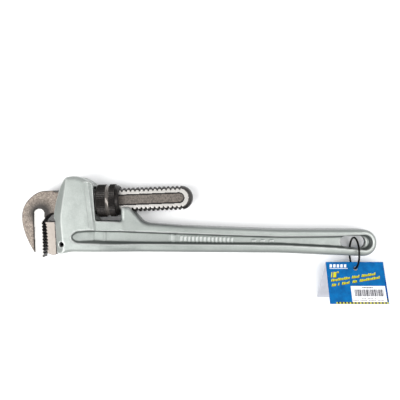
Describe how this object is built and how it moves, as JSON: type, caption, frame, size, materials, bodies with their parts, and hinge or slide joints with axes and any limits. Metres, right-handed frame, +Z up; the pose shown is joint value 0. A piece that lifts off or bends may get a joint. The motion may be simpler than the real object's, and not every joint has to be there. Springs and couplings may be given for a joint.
{
  "type": "pipe wrench",
  "caption": "Adjustable pipe wrench with an I-beam handle, a toothed hook jaw on a threaded shank, a knurled adjusting nut, a heel jaw and a folded card tag.",
  "frame": {"origin": "under the middle of the wrench, without its tag, on the plane that the housing rests on", "axes": "+X along the handle to its hanging hole, +Y towards the open side of the nut's window, +Z up from the side it rests on"},
  "size_m": [0.4072, 0.1408, 0.0393],
  "materials": {
    "cast_handle": "satin, light grey-green lacquer over a fine cast surface",
    "heel_steel": "satin, ground",
    "pin_steel": "dark, oiled",
    "forged_jaw": "matte grey-brown forged surface, ground bright beside the teeth and round the shank",
    "black_nut": "black oxide, semi-matte",
    "spring_steel": "satin",
    "loop_plastic": "glossy black",
    "tag_card": "coated card, printed blue"
  },
  "bodies": {
    "root": {"handle": "cast_handle", "heel_jaw": "heel_steel", "heel_jaw_pin": "pin_steel", "coil_spring": "spring_steel"},
    "rocker": {"flat_spring": "spring_steel"},
    "jaw": {"hook_jaw": "forged_jaw"},
    "nut": {"adjusting_nut": "black_nut"},
    "tie": {"tag_loop": "loop_plastic"},
    "tag": {"hang_tag": "tag_card"}
  },
  "joints": [
    {"name": "jaw_rock", "type": "hinge", "parent": "root", "child": "rocker", "pos_m": [-0.1022, 0.0188, 0.0186], "axis": [0, 0, 1], "range_deg": [0, 1.8], "stiffness_Nm_per_rad": 20, "deforming": ["coil_spring"]},
    {"name": "jaw_slide", "type": "slide", "parent": "rocker", "child": "jaw", "axis": [-0.9993, -0.0384, 0], "range_m": [-0.0004, 0.06]},
    {"name": "nut_spin", "type": "hinge", "parent": "rocker", "child": "nut", "pos_m": [-0.1022, 0.0188, 0.0186], "axis": [0.9993, 0.0384, 0], "range_deg": [-30, 4325]},
    {"name": "tie_swing", "type": "hinge", "parent": "root", "child": "tie", "pos_m": [0.1764, -0.041, 0.0193], "axis": [1, 0, 0], "range_deg": [-50, 20]},
    {"name": "tag_swing", "type": "hinge", "parent": "tie", "child": "tag", "pos_m": [0.1764, -0.0586, 0.0193], "axis": [1, 0, 0], "range_deg": [-12, 15]}
  ],
  "couplings": [
    {"joint": "nut_spin", "follows": "jaw_slide", "rad_per_m": 1256.6}
  ]
}
